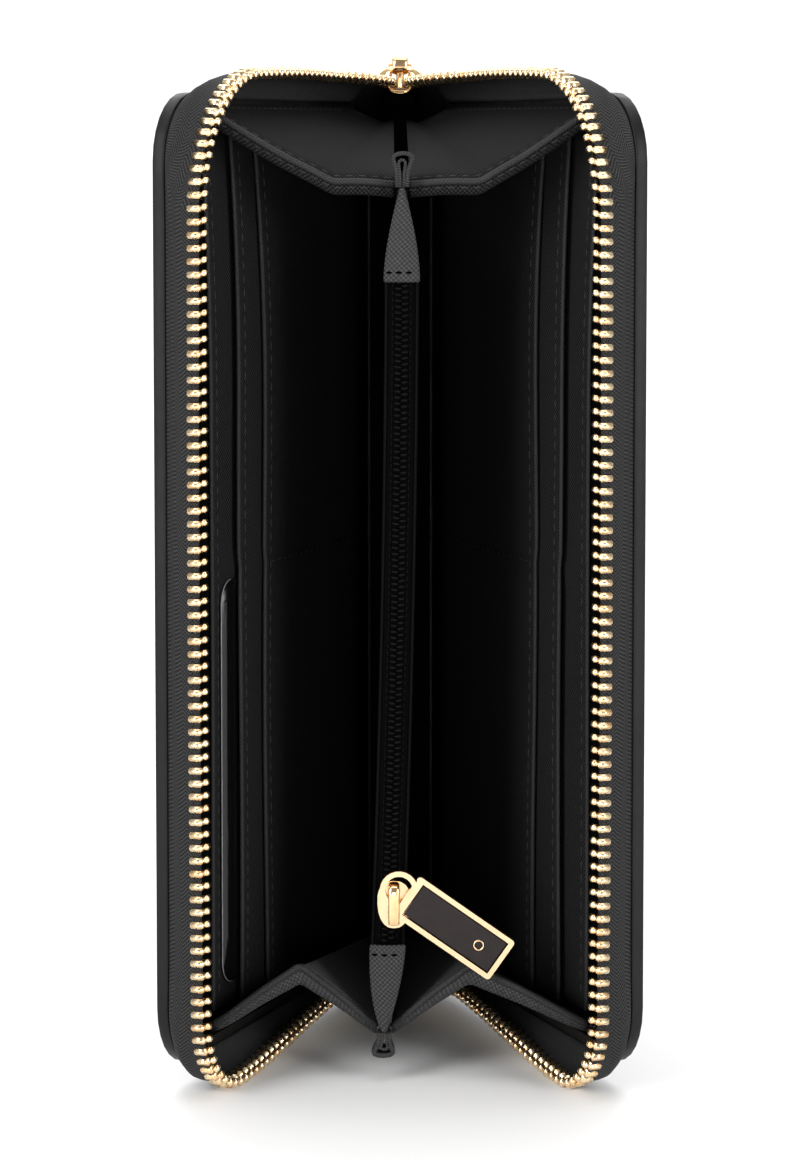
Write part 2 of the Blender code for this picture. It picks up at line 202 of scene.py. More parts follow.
def along(pts, pitch, start=0.0):
    """(point, direction) at even steps along a polyline in mm."""
    pts = np.array(pts, float)
    seg = np.linalg.norm(pts[1:] - pts[:-1], axis=1)
    cum = np.concatenate([[0], np.cumsum(seg)])
    out = []
    d = start
    while d <= cum[-1]:
        i = min(np.searchsorted(cum, d, side="right") - 1, len(seg) - 1)
        t = (d - cum[i]) / max(seg[i], 1e-9)
        out.append((pts[i] + (pts[i + 1] - pts[i]) * t, (pts[i + 1] - pts[i]) / max(seg[i], 1e-9), i + t))
        d += pitch
    return out


def stitches(name, pts, normal, mats, pitch=2.6, size=(1.7, 0.34, 0.26)):
    """A row of thread stitches lying on a surface."""
    shape = [base_shape("ball", size)]
    frames = []
    for p, d, _ in along(pts, pitch, pitch * 0.4):
        n = np.array(normal(p) if callable(normal) else normal, float)
        n = n - d * (n @ d)
        n /= np.linalg.norm(n)
        frames.append((p, d, np.cross(n, d), n))
    return many(name, shape, frames, mats)


# ------------------------------------------------------------------ materials
def new_mat(name, color, rough, metal=0.0, **k):
    m = bpy.data.materials.new(name)
    m.use_nodes = True
    b = m.node_tree.nodes["Principled BSDF"]
    b.inputs["Base Color"].default_value = (*color, 1)
    b.inputs["Roughness"].default_value = rough
    b.inputs["Metallic"].default_value = metal
    for key, v in k.items():
        b.inputs[key.replace("_", " ")].default_value = v
    return m, m.node_tree, b


def node(t, kind, *ins, **props):
    n = t.nodes.new(kind)
    for k, v in props.items():
        setattr(n, k, v)
    for i, v in enumerate(ins):
        if v is None:
            continue
        if hasattr(v, "is_output") or isinstance(v, bpy.types.NodeSocket):
            t.links.new(v, n.inputs[i])
        else:
            n.inputs[i].default_value = v
    return n


def math_(t, op, a, b=None):
    return node(t, "ShaderNodeMath", a, b, operation=op).outputs[0]


def uv_mm(t):
    s = node(t, "ShaderNodeSeparateXYZ", node(t, "ShaderNodeTexCoord").outputs["UV"])
    return s.outputs[0], s.outputs[1]


def obj_mm(t):
    c = node(t, "ShaderNodeTexCoord").outputs["Object"]
    return node(t, "ShaderNodeVectorMath", c, (1000.0, 1000.0, 1000.0), operation="MULTIPLY").outputs[0]


def noise(t, vec, scale, detail=3.0, rough=0.55):
    n = t.nodes.new("ShaderNodeTexNoise")
    t.links.new(vec, n.inputs["Vector"])
    n.inputs["Scale"].default_value = scale
    n.inputs["Detail"].default_value = detail
    n.inputs["Roughness"].default_value = rough
    return n.outputs["Fac"]


def ramp(t, fac, stops):
    r = t.nodes.new("ShaderNodeValToRGB")
    t.links.new(fac, r.inputs[0])
    e = r.color_ramp.elements
    while len(e) < len(stops):
        e.new(0.5)
    for el, (p, c) in zip(e, stops):
        el.position, el.color = p, (*c, 1) if len(c) == 3 else c
    return r.outputs[0]


def bump(t, b, height, strength, dist_mm):
    n = t.nodes.new("ShaderNodeBump")
    n.inputs["Strength"].default_value = strength
    n.inputs["Distance"].default_value = dist_mm * MM
    t.links.new(height, n.inputs["Height"])
    t.links.new(n.outputs[0], b.inputs["Normal"])


def g(x):
    return (x, x, x * 1.03)


def smooth_leather():
    m, t, b = new_mat("smooth_leather_look", g(0.005), 0.4, Specular_IOR_Level=0.2)
    p = obj_mm(t)
    cells = t.nodes.new("ShaderNodeTexVoronoi")
    cells.feature = "DISTANCE_TO_EDGE"
    t.links.new(p, cells.inputs["Vector"])
    cells.inputs["Scale"].default_value = 2.1
    h = math_(t, "ADD", math_(t, "MINIMUM", cells.outputs["Distance"], 0.22), math_(t, "MULTIPLY", noise(t, p, 5.0), 0.25))
    bump(t, b, h, 0.35, 0.12)
    t.links.new(ramp(t, noise(t, p, 0.05, 2.0), [(0.3, g(0.0035)), (0.7, g(0.007))]), b.inputs["Base Color"])
    t.links.new(ramp(t, noise(t, p, 0.35, 4.0), [(0.3, (0.34,) * 3), (0.75, (0.5,) * 3)]), b.inputs["Roughness"])
    return m


def cross_leather(name, lo, hi, pitch=0.78, rough=0.5, spec=0.16):
    m, t, b = new_mat(name, g(lo), rough, Specular_IOR_Level=spec)
    u, v = uv_mm(t)
    k = 2 * math.pi / pitch
    wob = math_(t, "MULTIPLY", math_(t, "SUBTRACT", noise(t, obj_mm(t), 0.8, 2.0), 0.5), 1.6)
    a = math_(t, "SINE", math_(t, "ADD", math_(t, "MULTIPLY", math_(t, "ADD", u, v), k), wob))
    c = math_(t, "SINE", math_(t, "SUBTRACT", math_(t, "MULTIPLY", math_(t, "SUBTRACT", u, v), k), wob))
    h = math_(t, "ADD", math_(t, "MULTIPLY", math_(t, "ADD", a, c), 0.25), 0.5)
    bump(t, b, h, 0.8, 0.12)
    fine = math_(t, "ADD", math_(t, "MULTIPLY", h, 0.75), math_(t, "MULTIPLY", noise(t, obj_mm(t), 2.5, 3.0), 0.4))
    t.links.new(ramp(t, fine, [(0.35, g(lo)), (0.72, g((lo + hi) / 2)), (0.98, g(hi))]), b.inputs["Base Color"])
    return m


def woven(name, lo, hi, rib=1.7, pitch=0.5, rough=0.72, sheen=0.15, spec=0.12):
    m, t, b = new_mat(name, g(lo), rough, Specular_IOR_Level=spec, Sheen_Weight=sheen, Sheen_Roughness=0.5)
    u, v = uv_mm(t)
    zig = math_(t, "PINGPONG", u, rib)
    k = 2 * math.pi / pitch
    a = math_(t, "SINE", math_(t, "MULTIPLY", math_(t, "ADD", v, zig), k))
    c = math_(t, "SINE", math_(t, "MULTIPLY", u, 2 * math.pi / 0.42))
    h = math_(t, "ADD", math_(t, "MULTIPLY", math_(t, "MULTIPLY", a, math_(t, "ADD", math_(t, "MULTIPLY", c, 0.35), 0.65)), 0.5), 0.5)
    bump(t, b, h, 0.9, 0.14)
    t.links.new(ramp(t, math_(t, "ADD", math_(t, "MULTIPLY", h, 0.8), math_(t, "MULTIPLY", noise(t, obj_mm(t), 3.0), 0.25)), [(0.2, g(lo)), (0.95, g(hi))]), b.inputs["Base Color"])
    return m


def gold(name, color, rough, deep=(0.75, 0.42, 0.16)):
    m, t, b = new_mat(name, color, rough, 1.0)
    p = obj_mm(t)
    t.links.new(ramp(t, noise(t, p, 0.35, 3.0), [(0.25, deep), (0.55, color), (0.9, tuple(min(1, c * 1.06) for c in color))]), b.inputs["Base Color"])
    t.links.new(ramp(t, noise(t, p, 2.2, 4.0), [(0.3, (rough * 0.75,) * 3), (0.8, (rough * 1.5,) * 3)]), b.inputs["Roughness"])
    bump(t, b, noise(t, p, 3.0, 2.0), 0.06, 0.05)
    return m


def plain(name, color, rough, n_scale=1.5, b_strength=0.25, **k):
    m, t, b = new_mat(name, color, rough, **k)
    p = obj_mm(t)
    t.links.new(ramp(t, noise(t, p, n_scale, 3.0), [(0.3, tuple(c * 0.8 for c in color)), (0.75, tuple(c * 1.3 for c in color))]), b.inputs["Base Color"])
    bump(t, b, noise(t, p, n_scale * 3, 3.0), b_strength, 0.08)
    return m


SMOOTH = smooth_leather()
CROSS = cross_leather("crosshatch_look", 0.02, 0.066, 0.95, rough=0.6, spec=0.12)
# Crosshatch leather darkened for the slot panels and the down-facing top gussets inside the wallet: painted shade.
CROSS_SHADED_IN = cross_leather("crosshatch_painted_shade_look", 0.003, 0.034, 0.9, rough=0.75, spec=0.03)
# A lighter copy of the same crosshatch for the up-facing bottom gussets: painted light.
CROSS_LIT_LOW = cross_leather("crosshatch_painted_light_look", 0.01, 0.15, 0.95, rough=0.65, spec=0.1)
EDGE = cross_leather("edge_leather_look", 0.014, 0.045, 0.7)
TAPE = woven("zip_tape_look", 0.003, 0.05, 1.9, 0.78, sheen=0.03)
COIN_TAPE = woven("coin_tape_look", 0.0008, 0.003, 1.2, 0.5, sheen=0.0, spec=0.02)
LINING = woven("lining_look", 0.001, 0.004, 400.0, 0.7, sheen=0.0, spec=0.0)
NYLON = plain("nylon_look", g(0.002), 0.5, Specular_IOR_Level=0.1)
DARK_THREAD = plain("dark_thread_look", g(0.001), 0.8, 3.0, 0.3, Specular_IOR_Level=0.0)
FOLD = cross_leather("fold_leather_look", 0.025, 0.05, 0.5, rough=0.65, spec=0.1)
THREAD = plain("thread_look", g(0.006), 0.6, 3.0, 0.4)
GOLD = gold("pale_gold_look", (0.95, 0.67, 0.36), 0.17, (0.85, 0.52, 0.22))
PULL_GOLD = gold("pull_gold_look", (0.95, 0.66, 0.41), 0.2, (0.92, 0.61, 0.36))
TOOTH = gold("tooth_gold_look", (1.0, 0.79, 0.51), 0.24, (0.94, 0.56, 0.25))
INLAY = plain("inlay_look", (0.013, 0.009, 0.008), 0.3, 0.6, 0.05, Specular_IOR_Level=0.25)
BOARD = plain("board_look", (0.2, 0.18, 0.15), 0.9)


def sleeve():
    m, t, b = new_mat("sleeve_look", g(0.003), 0.12, Coat_Weight=0.08, Specular_IOR_Level=0.3)
    p = obj_mm(t)
    bump(t, b, noise(t, p, 0.12, 2.0), 0.2, 0.2)
    t.links.new(ramp(t, noise(t, p, 0.4, 3.0), [(0.3, (0.08,) * 3), (0.8, (0.2,) * 3)]), b.inputs["Roughness"])
    return m


SLEEVE = sleeve()
# Light grey for the clear sleeve's rim: painted highlight.
SLEEVE_EDGE_HIGHLIGHT = plain("sleeve_edge_highlight_look", g(0.2), 0.3, 0.6, 0.1)
# Coin pocket walls: black crosshatch darkened further to near black, painted shade for the deep middle of the wallet.
POCKET_SHADED = cross_leather("pocket_leather_painted_shade_look", 0.001, 0.004, rough=0.7, spec=0.07)

# ------------------------------------------------------------------ outer leather
W, Z0, Z1, R = 98.0, 1.0, 194.0, 13.5
RF = 3.0
TL = RF * math.tan(math.radians(34.0))


def skin_point(s, w, z, off=0.0):
    """The leather's middle surface, w mm from the spine's middle, off mm outwards."""
    flat = HX - TL
    arc = RF * math.radians(68.0)
    if w <= flat:
        return (-s * w, HY + off, z)
    if w <= flat + arc:
        a = (w - flat) / RF
        r = RF + off
        return (-s * (flat + r * math.sin(a)), HY - RF + r * math.cos(a), z)
    v = TL + (w - flat - arc)
    return cov(s, -off, v, z)


W_ALL = (HX - TL) + RF * math.radians(68.0) + (W - TL)


def front_at(z, r=R, w=W_ALL, z0=Z0, z1=Z1):
    d = min(z - z0, z1 - z)
    return w if d >= r else w - r + math.sqrt(max(0.0, r * r - (r - d) ** 2))


def z_rows(z0, z1, r, na=7, nm=34):
    lo = [z0 + r * (1 - math.cos(math.radians(90 * i / na))) for i in range(na)]
    hi = [z1 - r * (1 - math.cos(math.radians(90 * (na - i) / na))) for i in range(1, na + 1)]
    return lo + [z0 + r + (z1 - z0 - 2 * r) * i / nm for i in range(nm + 1)] + hi


for side, s in SIDES.items():
    P = []
    for z in z_rows(Z0, Z1, R):
        wm = front_at(z)
        cols = [7.0 * i / 4 for i in range(4)] + [7.0 + 7.0 * i / 12 for i in range(12)] + [14.0 + (wm - 14.0) * (i / 26) for i in range(27)]
        row = []
        for w in cols:
            t = (w - 14) / (wm - 14)
            q = min(z - Z0, Z1 - z)
            pad = 0.14 * sm(q / 9.0) * sm((wm - w) / 9.0) * (0.35 + 0.65 * sm((w - 8) / 16.0))
            row.append(skin_point(s, w, z, pad))
        P.append(row)
    o = grid(side + "_cover_skin", P, SMOOTH, 2.5, 0.0, bevel=0.9)
    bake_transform(o)
    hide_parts(side + "_cover_leather", "spine_leather")
    # edge stitching on the outside
    path = []
    r2, inset = R - 2.6, 2.6
    for i in range(8):
        path.append((14 + (W_ALL - R - 14) * i / 8, Z1 - inset))
    for i in range(9):
        a = math.radians(90 - 90 * i / 8)
        path.append((W_ALL - R + r2 * math.cos(a), Z1 - R + r2 * math.sin(a)))
    for i in range(1, 12):
        path.append((W_ALL - inset, Z1 - R + (Z0 + R - Z1 + R) * i / 12))
    for i in range(9):
        a = math.radians(-90 * i / 8)
        path.append((W_ALL - R + r2 * math.cos(a), Z0 + R + r2 * math.sin(a)))
    for i in range(1, 9):
        path.append((W_ALL - R + (14 - W_ALL + R) * i / 8, Z0 + inset))
    pts = [skin_point(s, w, z, 1.29) for w, z in path]
    o = stitches(side + "_cover_stitching", pts, (-s * CA, SA, 0), THREAD, 3.0, (2.0, 0.42, 0.34))
    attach(o, side + "_cover")

# ------------------------------------------------------------------ zip tape and teeth
ROOT = dict(front=97.1, z0=2.0, z1=193.0, radii=(12.7, 12.7))
HEAD = dict(front=97.4, z0=-3.05, z1=197.4, radii=(26.0, 16.0))
START = 6.0


def u_path(front, z0, z1, radii, start=START, n_side=30, n_arc=16, n_front=60):
    rt, rb = radii
    pts = [(start + (front - rt - start) * i / n_side, z1) for i in range(n_side)]
    pts += [(front - rt + rt * math.sin(math.radians(90 * i / n_arc)), z1 - rt + rt * math.cos(math.radians(90 * i / n_arc))) for i in range(n_arc)]
    pts += [(front, z1 - rt + (z0 + rb - (z1 - rt)) * i / n_front) for i in range(n_front)]
    pts += [(front - rb + rb * math.cos(math.radians(90 * i / n_arc)), z0 + rb - rb * math.sin(math.radians(90 * i / n_arc))) for i in range(n_arc)]
    pts += [(front - rb + (start - (front - rb)) * i / n_side, z0) for i in range(n_side + 1)]
    return pts


def run_shift(v, z):
    """The rows' rise and fall along the top and bottom runs."""
    if z > 150:
        return 1.0 * math.sin(math.pi * min(1.0, max(0.0, (v - 8) / 76.0))) * sm((z - 172.0) / 22.0)
    if z < 40:
        return 5.6 * sm((84.0 - v) / 62.0) * sm((26.0 - z) / 22.0)
    return 0.0


def row_point(s, u, v, z, high):
    """A point of the zip at rest. Near the spine both rows draw in to the slider."""
    bow = 0.0
    if 20 < z < 180:
        bow = 0.5 * math.sin(math.pi * (z - 20) / 160.0)
    x, y, z2 = cov(s, u - bow * 0.6 * high, v, z)
    z2 += run_shift(v, z) * high
    if z > 170 or z < 30:
        k = sm((v - START - 0.5) / 24.0)
        mid = -s * (0.95 + (10.2 - u) * 1.0)
        yy = HY - v
        q = (1 - k) * min(1.0, high) ** 0.6
        x, y = x + (mid - x) * q, y + (yy - y) * q
    return (x, y, z2)


def blend_zip(o):
    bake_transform(o)


for side, s in SIDES.items():
    root, head = u_path(**ROOT), u_path(**HEAD)
    rows = []
    for i, ((v0, z0), (v1, z1)) in enumerate(zip(root, head)):
        row = []
        (va, za), (vb, zb) = root[max(i - 1, 0)], root[min(i + 1, len(root) - 1)]
        ln = math.hypot(vb - va, zb - za)
        nv, nz = -(zb - za) / ln, (vb - va) / ln
        swellv = 1.0 * sm((v0 - 58) / 24.0) * sm((z0 - 163) / 22.0) + 1.5 * sm((v0 - 62) / 22.0) * sm((30 - z0) / 22.0)
        for f, u in ((0, 1.3), (0.1, 1.75), (0.3, 2.3), (0.58, 3.0), (0.84, 3.8), (0.97, 4.8), (1, 5.8), (1, 6.9), (1, 7.9)):
            e = f ** 0.9
            b = swellv * math.sin(math.pi * min(1.0, e) ** 0.8)
            row.append(row_point(s, u, v0 + (v1 - v0) * e + nv * b, z0 + (z1 - z0) * e + nz * b, e))
        rows.append(row)
    o = grid(side + "_tape_weave", rows, TAPE, 0.6, 0.0)
    blend_zip(o)
    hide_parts(side + "_zip_tape")
    fine = [(a, b) for a, b in head]
    line = [row_point(s, 2.25, 12.0 + 68.0 * i / 30, 194.1, 0.25) for i in range(31)]
    o = stitches(side + "_tape_stitching", line, (s * CA, -SA, 0), THREAD, 2.6, (1.7, 0.4, 0.3))
    blend_zip(o)
    bead = [row_point(s, 7.8, v, z, 1.0) for v, z in fine]
    o = tube(side + "_tape_bead", bead, 0.7, TAPE, 8)
    blend_zip(o)
    # teeth
    lead = [row_point(s, 10.0, v, z, 1.0) for v, z in fine]
    back = [row_point(s, 6.0, v, z, 1.0) for v, z in fine]
    leg = base_shape("cube", (2.7, 1.25, 2.3), 0.22, 2)
    leg = (leg[0] + np.array([-0.3, -0.1, 0]), leg[1])
    neck = base_shape("cube", (1.3, 0.8, 1.5), 0.2, 2)
    neck = (neck[0] + np.array([1.3, 0.1, 0]), neck[1])
    knob = base_shape("ball", (1.45, 1.5, 1.9))
    knob = (knob[0] + np.array([1.72, 0.28, 0]), knob[1])
    frames = []
    mids = [tuple((np.array(p) + np.array(q)) / 2) for p, q in zip(lead, back)]
    L, B = np.array(lead), np.array(back)
    for p, d, i in along(mids, 2.54, 0.6 if s > 0 else 1.87):
        k = min(int(i), len(L) - 2)
        f = i - k
        inward = (L[k] + (L[k + 1] - L[k]) * f) - (B[k] + (B[k + 1] - B[k]) * f)
        inward -= d * (inward @ d)
        inward /= np.linalg.norm(inward)
        n = np.cross(inward, -d)
        frames.append((p, inward, -d, n))
    o = many(side + "_teeth", [leg, neck, knob], frames, TOOTH)
    blend_zip(o)
    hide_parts(side + "_zip_teeth")

# ------------------------------------------------------------------ slot panels
SLOTS = (("slip_pocket", 2.5, 79.7), ("card_slot_outer", 4.0, 69.9), ("card_slot_inner", 4.9, 59.6))
for side, s in SIDES.items():
    for k, (name, uc, v1) in enumerate(SLOTS):
        P = []
        zs = [10.0 + 177.0 * i / 60 for i in range(61)]
        for z in zs:
            seam = math.exp(-((z - 98.5) / 3.2) ** 2) if k else 0.0
            wave = 0.35 * math.sin(z / 21.0 + k * 1.7 + (s > 0) * 1.1) * (0.4 + 0.6 * k)
            vm = v1 + wave - 0.9 * seam + (0.5 if z > 98.5 and k else 0.0)
            row = []
            for t in [0, 0.15, 0.3, 0.45, 0.6, 0.72, 0.82, 0.9, 0.95, 0.98, 1.0]:
                v = 5.0 + (vm - 5.0) * t
                v += 4.2 * max(0.0, (z - 132.0) / 55.0) ** 2 * t
                u = uc + 0.25 * (1 - seam) * sm((t - 0.7) / 0.3) * (k > 0) - 0.12 * seam
                row.append(cov(s, u, v, z))
            P.append(row)
        # The slot panels take the darkened crosshatch: painted shade.
        o = grid(f"{side}_{name}_leather", P, CROSS_SHADED_IN, 0.55, 0.0)
        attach(o, side + "_cover")
        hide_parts(f"{side}_{name}")
        # turned front edge
        edge = [tuple(r[-1]) for r in P]
        o = tube(f"{side}_{name}_edge", edge, 0.42, EDGE, 8)
        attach(o, side + "_cover")
        line = [cov(s, uc + 0.3 + 0.22 * (k > 0), v1 - 2.2 + 4.2 * max(0.0, (z - 132.0) / 55.0) ** 2 + 0.35 * math.sin(z / 21.0 + k * 1.7 + (s > 0) * 1.1) * (0.4 + 0.6 * k), z) for z in zs[1:-1]]
        o = stitches(f"{side}_{name}_stitching", line, (s * CA, -SA, 0), THREAD, 2.8, (1.8, 0.36, 0.26))
        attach(o, side + "_cover")
    seam = [cov(s, 5.3, v, 98.5) for v in (57, 50, 40, 30, 20, 10)]
    o = stitches(side + "_middle_seam", seam, (s * CA, -SA, 0), THREAD, 2.8, (1.8, 0.36, 0.26))
    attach(o, side + "_cover")

# clear sleeve in the lower left slot
wz0, wz1, wv0, wv1, wr = 14.5, 96.5, 22.0, 76.9, 4.5
P = []
for z in z_rows(wz0, wz1, wr, 6, 14):
    vm = front_at(z, wr, wv1, wz0, wz1)
    P.append([cov(1, 3.25, wv0 + (vm - wv0) * i / 8, z) for i in range(9)])
o = grid("id_sleeve", P, SLEEVE, 0.28)
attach(o, "left_cover")
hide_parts("id_window")
rim = [tuple(r[-1]) for r in P]
# The rim tube's light grey is a painted highlight along the clear edge.
o = tube("id_sleeve_highlight_edge", rim, 0.15, SLEEVE_EDGE_HIGHLIGHT, 6)
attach(o, "left_cover")


# ------------------------------------------------------------------ coin pocket
FACE = -75.5


def lean(z):
    t = (z - 5.0) / 172.0
    return -3.2 + 7.2 * t - 3.6 * t * t if t > 0 else -3.2


def swell(z, full=3.1):
    k = min(min(1.0, max(0.0, (z - 6.0) / 16.0)), min(1.0, max(0.0, (175.6 - z) / 16.0)))
    return 0.75 + (full - 0.75) * k * k * (3 - 2 * k)


for side, s in SIDES.items():
    P = []
    for i in range(69):
        z = 6.0 + 169.6 * i / 68
        w, c = swell(z), lean(z)
        row = []
        for y, near in ((-3, 0), (-14, 0.05), (-26, 0.13), (-38, 0.27), (-48, 0.45), (-56, 0.62), (-60, 0.72), (-64, 0.84), (-68, 0.93), (-71, 0.98), (-73, 1), (FACE + 0.9, 1.0)):
            fl = sm((-56.0 - y) / 12.0)
            half = 0.85 + (w - 0.85) * fl
            half += 0.12 * math.sin(z / 13.0 + y / 9.0) * sm(-y / 20.0) * (1 - fl)
            row.append((c * near - s * half, HY + y, z))
        P.append(row)
    # The walls and their edge use the near-black painted-shade leather.
    o = grid(f"{side}_coin_wall_leather", P, POCKET_SHADED, 0.55, 0.0)
    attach(o, "root")
    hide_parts(f"{side}_coin_pocket_wall")
    line = [(lean(z) - s * (swell(z) - 0.1), HY + FACE + 0.55, z) for z in [16 + 150 * i / 60 for i in range(61)]]
    o = tube(f"{side}_coin_wall_edge", line, 0.4, POCKET_SHADED, 8)
    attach(o, "root")

P = []
for i in range(60):
    z = 12 + 158 * i / 59
    w, c = max(0.85, swell(z) - 0.45), lean(z)
    P.append([(c + w * t, HY + FACE + 0.2, z) for t in (-1, -0.5, -0.15, 0.15, 0.5, 1)])
o = grid("coin_tape_weave", P, COIN_TAPE, 0.45)
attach(o, "root")
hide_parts("coin_zip_tape")
frames = []
loop_shape = [base_shape("ball", (1.55, 0.95, 0.62))]
for i in range(111):
    z = 24.6 + 1.2 * i
    for sx in (-1, 1):
        frames.append(((lean(z) + sx * 0.68, HY + FACE - 0.72, z + (0.6 if sx > 0 else 0)), (1, 0, 0.12 * sx), (0, 1, 0), (0, 0, 1)))
o = many("coin_coil", loop_shape, frames, NYLON)
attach(o, "root")
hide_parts("coin_zip_coil")
for sx in (-1, 1):
    line = [(lean(z) + sx * 1.75, HY + FACE - 0.2, z) for z in [25 + 133 * i / 50 for i in range(51)]]
    o = stitches("coin_tape_stitching_" + ("left" if sx < 0 else "right"), line, (0, -1, 0), NYLON, 1.5, (0.9, 0.3, 0.3))
    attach(o, "root")

for name, za, zb, ztip, sg in (("coin_tab_top", 156.6, 175.4, 182.6, 1), ("coin_tab_bottom", 24.0, 6.0, 0.9, -1)):
    P = []
    n = 22
    for i in range(n + 1):
        z = za + (zb - za) * i / n
        k = 1 - i / n
        t_ = 1 - k
        wl = 0.45 + 3.2 * max(0.0, 1 - t_ ** 2.3) ** 0.85
        wr = 0.45 + 3.2 * max(0.0, 1 - t_ ** 1.7)
        if sg > 0:
            wl, wr = (0.45 + 3.2 * max(0.0, 1 - t_ ** 1.75) ** 1.1,) * 2
        c, y = lean(z), HY + FACE - 1.5 - 0.55 * k
        row = []
        for j in range(13):
            t = -1 + 2 * j / 12
            fold = 0.55 * (1 - k) * math.cos(t * math.pi) * (abs(t) < 0.95)
            row.append((c + (wl if t < 0 else wr) * t, y + 0.75 * t * t * (0.4 + 0.6 * k) - 0.25 * fold, z))
        P.append(row)
    o = grid(name + "_leather", P, CROSS, 0.75, 0.0)
    m = o.modifiers.new("soft", "SUBSURF")
    m.levels = m.render_levels = 1
    apply_mods(o)
    o.data.shade_smooth()
    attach(o, "root")
    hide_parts(name)
    # the folded loop past the pinch: two leaves round a narrow core
    c = lean(zb)
    for j, (r, t) in enumerate(((3.3, 0.8), (1.15, 0.55))):
        pts = []
        length = abs(ztip - zb) - 0.5 - (1.3 if j else 0.0)
        for i in range(17):
            a = math.pi * (i / 16)
            x = -math.cos(a)
            prof = sm(i / 6.0) * sm((16 - i) / 6.0)
            zz = zb + sg * length * (math.sin(a) ** 0.45 if 0 < i < 16 else 0)
            pts.append((c + r * x * (0.3 + 0.7 * prof) + (0.25 * sg * math.sin(a) if j == 0 else 0.0), zz))
        P = [[(x, HY + FACE - 2.1 + 1.5 * q, z) for x, z in pts] for q in (0, 0.25, 0.5, 0.75, 1, 1.6, 2.4)]
        o = grid(f"{name}_fold_{j + 1}", P, FOLD, t, 0.0)
        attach(o, "root")
    zs_ = za + sg * 2.0
    line = [(lean(zs_) + t * 3.3, HY + FACE - 2.52 + 0.72 * (t * t), zs_) for t in (-1, -0.6, -0.2, 0.2, 0.6, 1)]
    o = stitches(name + "_stitching", line, (0, -1, 0), DARK_THREAD, 2.0, (1.2, 0.5, 0.4))
    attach(o, "root")


# ------------------------------------------------------------------ gussets
def soften(pts, rounds=2):
    for _ in range(rounds):
        out = [pts[0]]
        for p, q in zip(pts, pts[1:]):
            out.append(p * 0.75 + q * 0.25)
            out.append(p * 0.25 + q * 0.75)
        out.append(pts[-1])
        pts = out
    return pts


for side, s in SIDES.items():
    for end in ("top", "bottom"):
        up = end == "top"
        P = []
        for i in range(19):
            t = i / 18
            v = 84.5 + (9.0 - 84.5) * t
            cy = FACE + 2.0 + (-4.0 - (FACE + 2.0)) * t
            near = max(0.0, min(1.0, (-cy - 3.0) / 70.0)) ** 1.3
            cz_ = 1.35 + 0.2 * (1 - t)
            if up:
                r = t ** 0.75
                a0 = Vector(cov(s, 2.5, v - 0.5, 191.6))
                a1 = Vector(cov(s, 6.6, v, 189.2 + 0.6 * t))
                cx = lean(175.6) * near - s * cz_
                C = Vector((cx, HY + cy, 176.0 + 13.2 * r))
                f = 0.36 if s > 0 else 0.42
                B = Vector((cx + (a1.x - cx) * f, HY + (cy + (a1.y - HY)) / 2 + 1.0, 176.6 + 11.6 * r + 0.8 * math.sin(math.pi * t)))
            else:
                r = t ** 0.8
                a0 = Vector(cov(s, 2.5, v - 0.5, 7.6))
                a1 = Vector(cov(s, 6.6, v, 9.6 - 0.6 * t))
                cx = lean(6.0) * near - s * cz_
                C = Vector((cx, HY + cy, 6.4 + 1.4 * t))
                f = 0.5 if s > 0 else 0.42
                B = Vector((cx + (a1.x - cx) * f, HY + (cy + (a1.y - HY)) / 2 + 1.0, 19.6 - 10.2 * r + 0.6 * math.sin(math.pi * t)))
            a1 = a1.lerp(B, 0.02)
            mid1 = a1.lerp(B, 0.5) + Vector((0, 0, (-0.5 if up else 0.4) * (1 - t)))
            mid2 = B.lerp(C, 0.5) + Vector((0, 0, (0.3 if up else 0.4) * (1 - t)))
            P.append([tuple(p) for p in soften([a0, a1, mid1, B.lerp(a1, 0.14), B, B.lerp(C, 0.14), mid2, C], 2)])
        # Top gussets get the painted-shade crosshatch and bottom gussets the lighter painted-light copy of the same
        # leather.
        o = grid(f"{side}_gusset_{end}_leather", P, CROSS_SHADED_IN if up else CROSS_LIT_LOW, 0.7, 0.0)
        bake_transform(o)
        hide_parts(f"{side}_gusset_{end}")
        o = tube(f"{side}_gusset_{end}_edge", [tuple(Vector(p) + Vector((0, -0.15, 0))) for p in P[0][3:]], 0.66, EDGE, 8)
        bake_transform(o)
        front = P[0][3:]
        drops = ((0.0, 0.0), (0.12, 0.7), (0.3, 1.4), (0.6, 2.1)) if up else ((0.0, 0.0), (0.1, 1.1), (0.25, 2.2), (0.5, 3.2))
        H = [[tuple(Vector(p) + Vector((0, dy, -0.5 - dz * (1.0 if up else 0.3 + 0.7 * math.sin(math.pi * i / (len(front) - 1)))))) for i, p in enumerate(front)] for dy, dz in drops]
        # The top hem gets the painted-shade crosshatch and the bottom hem the plain crosshatch.
        o = grid(f"{side}_gusset_{end}_hem", H, CROSS_SHADED_IN if up else CROSS, 0.45, 0.0)
        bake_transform(o)
        o = stitches(f"{side}_gusset_{end}_hem_stitching", [tuple(Vector(p) + Vector((0, -0.22, 0))) for p in H[1 if up else 2]], (0, -1, 0), THREAD, 2.6, (1.7, 0.36, 0.3))
        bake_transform(o)
        j = 3
        line = [tuple(Vector(r[j]) + Vector((0, 0, 0.4 if up else 0.4))) for r in P[:-2]]
        o = stitches(f"{side}_gusset_{end}_stitching", line, (0, 0, 1), THREAD, 2.6, (1.7, 0.42, 0.3))
        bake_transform(o)
        row = [tuple(Vector(a) * 0.55 + Vector(b) * 0.45 + Vector((0, 0, 0.38))) for a, b in zip(P[0][4:], P[1][4:])]
        o = stitches(f"{side}_gusset_{end}_front_stitching", row, (0, 0, 1), THREAD, 2.6, (1.7, 0.36, 0.3))
        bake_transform(o)

